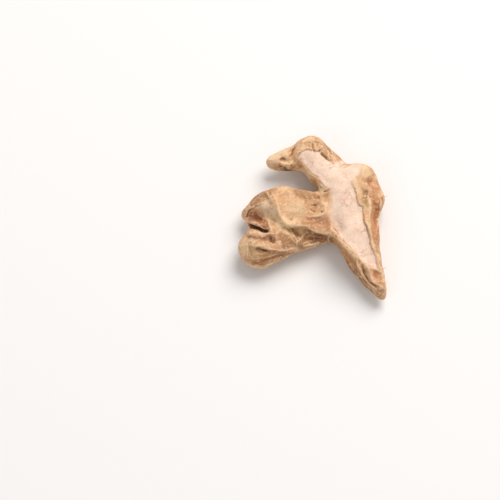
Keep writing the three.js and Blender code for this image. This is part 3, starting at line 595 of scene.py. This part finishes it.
in_view = smooth(facing, *stain_and_light_turn)
stain_and_painted_light = np.zeros((len(picture), 4))
for code, strength, reach, line in stains_and_painted_light.values():
    gap, _ = line_gap(picture + stain_and_light_wander * stray, line)
    amount = strength * smooth(gap / reach, *stain_and_light_fade) * in_view
    stain_and_painted_light = stain_and_painted_light * (1 - amount[:, None]) + amount[:, None] * colour(code)
stain_and_painted_light[:, :3] /= np.maximum(stain_and_painted_light[:, 3:], least_stain_and_light)
readings = {
    "bare": bare,
    "near_depth": near_depth,
    "far_depth": far_depth,
    "torn": np.exp(-((scraped / torn_width) ** 2)) * torn_edge,
}
for name, values in readings.items():
    attribute = root_mesh.attributes.new(name, "FLOAT", "POINT")
    attribute.data.foreach_set("value", values.astype(np.float32))
attribute = root_mesh.attributes.new("stain_and_painted_light", "FLOAT_COLOR", "POINT")
attribute.data.foreach_set("color", stain_and_painted_light.astype(np.float32).ravel())

# Dried rhizome skin: a thin corky layer, matt and slightly papery. It is tan, with painted highlights on the
# ridges and painted red-brown shade in the folds. Under it is starchy, floury flesh that scatters light
# softly.
skin, tree = new_material("dried_rhizome_skin")
place = add_node(tree, "ShaderNodeTexCoord").outputs["Object"]
shares = {}

# Soft patches: their size in millimetres, the noise where they begin and are full, and their strength.
clouds = {
    "straw_patch": (7, 0.42, 0.58, 1.0),
    "buff_patch": (4, 0.5, 0.64, 0.8),
    "rust_patch": (5, 0.56, 0.7, 0.6),
    "floury_patch": (2.6, 0.54, 0.7, 0.55),
    "stain_and_light_patch": (1.6, 0.25, 0.6, 1.0),
    "pink_patch": (5, 0.4, 0.62, 1.0),
    "cream_patch": (2.2, 0.5, 0.7, 0.7),
    "beige_patch": (1.5, 0.54, 0.7, 0.6),
    "cream_fleck": (1.3, 0.54, 0.7, 0.25),
    "brown_fleck": (1.5, 0.56, 0.72, 0.25),
    "speck": (0.8, 0.57, 0.68, 0.5),
}
for name, (size, low, high, top) in clouds.items():
    noise = add_node(tree, "ShaderNodeTexNoise", {"Scale": 1 / (size * mm), "Detail": 4}, {"Vector": place})
    limits = {"From Min": low, "From Max": high, "To Max": top}
    source = {"Value": noise.outputs["Fac"]}
    spread = add_node(tree, "ShaderNodeMapRange", limits, source, interpolation_type="SMOOTHSTEP")
    shares[name] = spread.outputs["Result"]

# What is stored on the root: the value's name, where it begins and is full, and its strength.
depths = {
    # Painted shade, deep in the folds.
    "fold_shade": ("far_depth", 0.1, 0.9, 0.7),
    # Painted highlight on the ridges.
    "ridge_highlight": ("near_depth", -0.02, -0.12, 0.6),
    # Painted shade, deep in the creases.
    "crease_shade": ("near_depth", 0.08, 0.36, 0.8),
    # Painted shade in the flesh's cracks.
    "face_crack_shade": ("near_depth", 0.04, 0.16, 0.7),
    "face_edge": ("torn", 0, 1, 0.5),
    "bare": ("bare", 0, 1, 1),
}
for name, (stored, low, high, top) in depths.items():
    value = add_node(tree, "ShaderNodeAttribute", attribute_name=stored)
    limits = {"From Min": low, "From Max": high, "To Max": top}
    spread = add_node(tree, "ShaderNodeMapRange", limits, {"Value": value.outputs["Fac"]})
    shares[name] = spread.outputs["Result"]
stain_and_light_node = add_node(tree, "ShaderNodeAttribute", attribute_name="stain_and_painted_light")
uneven_limits = {"To Min": 0.75, "To Max": 1.0}
uneven = add_node(tree, "ShaderNodeMapRange", uneven_limits, {"Value": shares["stain_and_light_patch"]})
stain_parts = {0: stain_and_light_node.outputs["Alpha"], 1: uneven.outputs["Result"]}
amount = add_node(tree, "ShaderNodeMath", {}, stain_parts, operation="MULTIPLY")
shares["stain_and_painted_light"] = amount.outputs["Value"]

# Hairline cracks in the dry flesh, here and there.
crack_spacing = 8 * mm
crack_width = 0.05  # as a share of the spacing
crack_wander = 4 * mm
crack_wander_length = 2 * mm
cracked_patch = 9 * mm
warp_values = {"Scale": 1 / crack_wander_length, "Detail": 3}
warp = add_node(tree, "ShaderNodeTexNoise", warp_values, {"Vector": place})
shaken = add_node(
    tree, "ShaderNodeVectorMath", {1: (crack_wander,) * 3}, {0: warp.outputs["Color"]}, operation="MULTIPLY"
)
moved = add_node(tree, "ShaderNodeVectorMath", {}, {0: place, 1: shaken.outputs[0]}, operation="ADD")
cells = add_node(
    tree,
    "ShaderNodeTexVoronoi",
    {"Scale": 1 / crack_spacing},
    {"Vector": moved.outputs[0]},
    feature="DISTANCE_TO_EDGE",
)
crack_limits = {"From Min": crack_width, "From Max": 0.0, "To Max": 0.5}
crack_line = add_node(tree, "ShaderNodeMapRange", crack_limits, {"Value": cells.outputs["Distance"]})
patch = add_node(tree, "ShaderNodeTexNoise", {"Scale": 1 / cracked_patch}, {"Vector": place})
patch_limits = {"From Min": 0.48, "From Max": 0.6}
cracked = add_node(tree, "ShaderNodeMapRange", patch_limits, {"Value": patch.outputs["Fac"]})
crack_parts = {0: crack_line.outputs["Result"], 1: cracked.outputs["Result"]}
hair = add_node(tree, "ShaderNodeMath", {}, crack_parts, operation="MULTIPLY")
shares["hairline"] = hair.outputs["Value"]

# Layers of colour, each laid over the ones before.
skin_layers = [
    ("#D2A57B", None),
    ("#E6C09A", "straw_patch"),
    ("#BE8D65", "buff_patch"),
    ("#C08860", "rust_patch"),
    # The stains, with the painted shade and painted light among them.
    (stain_and_light_node.outputs["Color"], "stain_and_painted_light"),
    ("#EFD0AE", "floury_patch"),
    ("#F3D5B0", "cream_fleck"),
    ("#A5754E", "brown_fleck"),
    # Painted shade, darker where the skin lies deep in its folds.
    ("#74401F", "fold_shade"),
    # Painted highlight on the ridges.
    ("#F0D0AA", "ridge_highlight"),
    # Painted shade, near black, deep in the creases.
    ("#562A10", "crease_shade"),
    ("#A8744C", "speck"),
]
flesh_layers = [
    ("#F3D8C4", None),
    ("#EBCBB6", "pink_patch"),
    ("#F3DCC8", "cream_patch"),
    ("#DFBDA3", "beige_patch"),
    ("#A9785A", "hairline"),
    # Painted shade in the flesh's cracks, where it lies deeper than around it.
    ("#B98763", "face_crack_shade"),
    ("#B9835A", "face_edge"),
]
grounds = []
for layers in (skin_layers, flesh_layers):
    ground = None
    for paint, share in layers:
        if share is None:
            ground = add_node(tree, "ShaderNodeRGB")
            ground.outputs[0].default_value = colour(paint)
            ground = ground.outputs[0]
            continue
        mix = add_node(tree, "ShaderNodeMix", {}, {0: shares[share], 6: ground}, data_type="RGBA")
        if isinstance(paint, str):
            mix.inputs[7].default_value = colour(paint)
        else:
            tree.links.new(paint, mix.inputs[7])
        ground = mix.outputs[2]
    grounds.append(ground)
whole_parts = {0: shares["bare"], 6: grounds[0], 7: grounds[1]}
whole = add_node(tree, "ShaderNodeMix", {}, whole_parts, data_type="RGBA")

# Fine grain and pores, which give the corky skin its matt bite.
grain_size = 0.5 * mm
pore_size = 0.9 * mm
grain_values = {"Scale": 1 / grain_size, "Detail": 5, "Roughness": 0.65}
grain = add_node(tree, "ShaderNodeTexNoise", grain_values, {"Vector": place})
pores = add_node(tree, "ShaderNodeTexVoronoi", {"Scale": 1 / pore_size}, {"Vector": place})
rough_skin = add_node(
    tree, "ShaderNodeBump", {"Strength": 0.5, "Distance": 0.25 * mm}, {"Height": grain.outputs["Fac"]}
)
pored_skin = add_node(
    tree,
    "ShaderNodeBump",
    {"Strength": 0.25, "Distance": 0.2 * mm},
    {"Height": pores.outputs["Distance"], "Normal": rough_skin.outputs["Normal"]},
)
skin_shader = add_node(
    tree,
    "ShaderNodeBsdfPrincipled",
    {"Roughness": 0.78, "IOR": 1.45, "Subsurface Weight": 0.1, "Subsurface Scale": 1.2 * mm},
    {"Base Color": whole.outputs[2], "Normal": pored_skin.outputs["Normal"]},
)
add_node(tree, "ShaderNodeOutputMaterial", links={"Surface": skin_shader.outputs["BSDF"]})
root_mesh.materials.clear()
root_mesh.materials.append(skin)
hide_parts("ginger_root")
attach(root, "root")

# Rootlets: hair-thin dried roots left on the skin, mostly by the toe's tip and in the corners between
# fingers. Each is a tapered fibre that leans and bends at random, placed by a fixed seed.
rootlet_size = {"Length": 3.2 * mm, "Thickness": 0.11 * mm, "Bend": 1.1 * mm, "Density": 60000.0, "Seed": 4}
rootlet_lean = 1.2
rootlet_scales = (0.25, 1.2)
wave_length = 2.5 * mm
fibre_tone_size = 3 * mm
hairy_elsewhere = 0.035
hairy_height = (1.5, 3)  # the height over the table where rootlets begin, and where none are left out
hairy_places = [  # across and up, reach, and how many
    ((34.5, -30.5), 3, 1.0),
    ((36, -37), 3, 1.0),
    ((36, -45), 3, 0.7),
    ((-15.8, -23.3), 1.6, 1.0),
    ((5, -14), 3, 0.6),
    ((-14.5, 26), 3, 0.4),
    ((-38, 6), 3, 0.5),
    ((26, 12), 3, 0.5),
    ((-1, 11), 3, 0.6),
]
hairy = np.full(len(picture), hairy_elsewhere)
for spot, reach, share in hairy_places:
    hairy += share * np.exp(-np.sum(((picture - spot) / reach) ** 2, axis=1))
hairy *= (1 - bare) * smooth(skin_point[:, 2], *hairy_height)
attribute = root_mesh.attributes.new("hairy", "FLOAT", "POINT")
attribute.data.foreach_set("value", hairy.astype(np.float32))

dried_fibre, tree = new_material("dried_root_fibre")
place = add_node(tree, "ShaderNodeTexCoord").outputs["Object"]
tone = add_node(tree, "ShaderNodeTexNoise", {"Scale": 1 / fibre_tone_size}, {"Vector": place})
fibre_tints = {6: colour("#E2C29C"), 7: colour("#B07F57")}
tint = add_node(tree, "ShaderNodeMix", fibre_tints, {0: tone.outputs["Fac"]}, data_type="RGBA")
fibre_bump = add_node(
    tree, "ShaderNodeBump", {"Strength": 0.3, "Distance": 0.05 * mm}, {"Height": tone.outputs["Fac"]}
)
shader = add_node(
    tree,
    "ShaderNodeBsdfPrincipled",
    {"Roughness": 0.7},
    {"Base Color": tint.outputs[2], "Normal": fibre_bump.outputs["Normal"]},
)
add_node(tree, "ShaderNodeOutputMaterial", links={"Surface": shader.outputs["BSDF"]})


def growth(name, sizes, density_from, material, lean, scales):
    """A node tree that scatters one shape over the skin, turned and scaled at random."""
    group = bpy.data.node_groups.new(name, "GeometryNodeTree")
    group.interface.new_socket("Geometry", in_out="INPUT", socket_type="NodeSocketGeometry")
    group.interface.new_socket("Geometry", in_out="OUTPUT", socket_type="NodeSocketGeometry")
    for size in sizes:
        kind = "NodeSocketInt" if size == "Seed" else "NodeSocketFloat"
        group.interface.new_socket(size, in_out="INPUT", socket_type=kind)
    entry = add_node(group, "NodeGroupInput")
    stored = add_node(group, "GeometryNodeInputNamedAttribute", {"Name": density_from}, data_type="FLOAT")
    density = add_node(
        group, "ShaderNodeMath", {}, {0: stored.outputs[0], 1: entry.outputs["Density"]}, operation="MULTIPLY"
    )
    points = add_node(
        group,
        "GeometryNodeDistributePointsOnFaces",
        {},
        {"Mesh": entry.outputs["Geometry"], "Density": density.outputs[0], "Seed": entry.outputs["Seed"]},
    )
    place_all = add_node(
        group,
        "GeometryNodeInstanceOnPoints",
        {},
        {"Points": points.outputs["Points"], "Rotation": points.outputs["Rotation"]},
    )
    seed = {"Seed": entry.outputs["Seed"]}
    turns = {0: (-lean, -lean, 0), 1: (lean, lean, 2 * math.pi)}
    turn = add_node(group, "FunctionNodeRandomValue", turns, seed, data_type="FLOAT_VECTOR")
    turned = add_node(
        group,
        "GeometryNodeRotateInstances",
        {},
        {"Instances": place_all.outputs["Instances"], "Rotation": turn.outputs[0]},
    )
    scale = add_node(group, "FunctionNodeRandomValue", {2: scales[0], 3: scales[1]}, seed, data_type="FLOAT")
    scaled = add_node(
        group,
        "GeometryNodeScaleInstances",
        {},
        {"Instances": turned.outputs["Instances"], "Scale": scale.outputs[1]},
    )
    real = add_node(group, "GeometryNodeRealizeInstances", {}, {"Geometry": scaled.outputs["Instances"]})
    painted = add_node(
        group, "GeometryNodeSetMaterial", {"Material": material}, {"Geometry": real.outputs["Geometry"]}
    )
    add_node(group, "NodeGroupOutput", {}, {"Geometry": painted.outputs["Geometry"]})
    return group, entry, place_all, real, painted


def grown(name, group, sizes, ground):
    """The plain mesh that a tree makes on the skin, as a piece at the origin."""
    carrier = bpy.data.objects.new(name + "_ground", ground.copy())
    scene.collection.objects.link(carrier)
    modifier = carrier.modifiers.new(name, "NODES")
    modifier.node_group = group
    sockets = {item.name: item.identifier for item in group.interface.items_tree if item.in_out == "INPUT"}
    for size, value in sizes.items():
        modifier[sockets[size]] = value
    mesh = bpy.data.meshes.new_from_object(carrier.evaluated_get(bpy.context.evaluated_depsgraph_get()))
    mesh.name = name
    bpy.data.objects.remove(carrier)
    piece = bpy.data.objects.new(name, mesh)
    scene.collection.objects.link(piece)
    return piece


group, entry, place_all, real, painted = growth(
    "rootlet_growth", rootlet_size, "hairy", dried_fibre, rootlet_lean, rootlet_scales
)
line = add_node(
    group,
    "GeometryNodeCurvePrimitiveLine",
    {"Direction": (0, 0, 1)},
    {"Length": entry.outputs["Length"]},
    mode="DIRECTION",
)
stem = add_node(group, "GeometryNodeResampleCurve", {"Count": 9}, {"Curve": line.outputs["Curve"]})
group.links.new(stem.outputs["Curve"], place_all.inputs["Instance"])
spot = add_node(group, "GeometryNodeInputPosition")
wave_values = {"Scale": 1 / wave_length, "Detail": 1}
waves = add_node(group, "ShaderNodeTexNoise", wave_values, {"Vector": spot.outputs["Position"]})
centred = add_node(
    group, "ShaderNodeVectorMath", {1: (0.5, 0.5, 0.5)}, {0: waves.outputs["Color"]}, operation="SUBTRACT"
)
along = add_node(group, "GeometryNodeSplineParameter")
bend_parts = {0: along.outputs["Factor"], 1: entry.outputs["Bend"]}
reach_out = add_node(group, "ShaderNodeMath", {}, bend_parts, operation="MULTIPLY")
push_parts = {0: centred.outputs[0], "Scale": reach_out.outputs[0]}
push = add_node(group, "ShaderNodeVectorMath", {}, push_parts, operation="SCALE")
bent = add_node(
    group, "GeometryNodeSetPosition", {}, {"Geometry": real.outputs["Geometry"], "Offset": push.outputs[0]}
)
taper_limits = {"To Min": 1.0, "To Max": 0.15}
taper = add_node(group, "ShaderNodeMapRange", taper_limits, {"Value": along.outputs["Factor"]})
ring = add_node(
    group, "GeometryNodeCurvePrimitiveCircle", {"Resolution": 5}, {"Radius": entry.outputs["Thickness"]}
)
fibre = add_node(
    group,
    "GeometryNodeCurveToMesh",
    {"Fill Caps": True},
    {
        "Curve": bent.outputs["Geometry"],
        "Profile Curve": ring.outputs["Curve"],
        "Scale": taper.outputs["Result"],
    },
)
group.links.new(fibre.outputs["Mesh"], painted.inputs["Geometry"])
rootlets = grown("dried_rootlets", group, rootlet_size, root_mesh)
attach(rootlets, "root")

# Skin flakes: slivers of corky skin that the knife left curled up along the edge of the scraped face.
# Each is a small bent sheet, about a tenth of a millimetre thick, turned at random.
flake_size = {"Length": 1.3 * mm, "Width": 0.7 * mm, "Curl": 0.2 * mm, "Density": 350000.0, "Seed": 9}
flake_thickness = 0.09 * mm
flake_lean = 0.3
flake_scales = (0.35, 1.1)
group, entry, place_all, real, painted = growth(
    "flake_growth", flake_size, "torn", skin, flake_lean, flake_scales
)
sheet = add_node(
    group,
    "GeometryNodeMeshGrid",
    {"Vertices X": 6, "Vertices Y": 4},
    {"Size X": entry.outputs["Length"], "Size Y": entry.outputs["Width"]},
)
# The curl grows with the square of the way from the sheet's middle, and is full at its two ends.
spot = add_node(group, "GeometryNodeInputPosition")
split = add_node(group, "ShaderNodeSeparateXYZ", {}, {"Vector": spot.outputs["Position"]})
share_parts = {0: split.outputs["X"], 1: entry.outputs["Length"]}
share = add_node(group, "ShaderNodeMath", {}, share_parts, operation="DIVIDE")
square = add_node(group, "ShaderNodeMath", {1: 2.0}, {0: share.outputs[0]}, operation="POWER")
height_parts = {0: square.outputs[0], 1: entry.outputs["Curl"]}
height = add_node(group, "ShaderNodeMath", {}, height_parts, operation="MULTIPLY")
high = add_node(group, "ShaderNodeMath", {1: 4.0}, {0: height.outputs[0]}, operation="MULTIPLY")
up = add_node(group, "ShaderNodeCombineXYZ", {}, {"Z": high.outputs[0]})
curled = add_node(
    group, "GeometryNodeSetPosition", {}, {"Geometry": sheet.outputs["Mesh"], "Offset": up.outputs["Vector"]}
)
solid = add_node(
    group,
    "GeometryNodeExtrudeMesh",
    {"Offset Scale": flake_thickness, "Individual": False},
    {"Mesh": curled.outputs["Geometry"]},
)
both = add_node(group, "GeometryNodeJoinGeometry")
back = add_node(group, "GeometryNodeFlipFaces", {}, {"Mesh": curled.outputs["Geometry"]})
group.links.new(back.outputs["Mesh"], both.inputs["Geometry"])
group.links.new(solid.outputs["Mesh"], both.inputs["Geometry"])
closed = add_node(
    group, "GeometryNodeMergeByDistance", {"Distance": same_point}, {"Geometry": both.outputs["Geometry"]}
)
group.links.new(closed.outputs["Geometry"], place_all.inputs["Instance"])
flakes = grown("torn_skin_flakes", group, flake_size, root_mesh)
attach(flakes, "root")
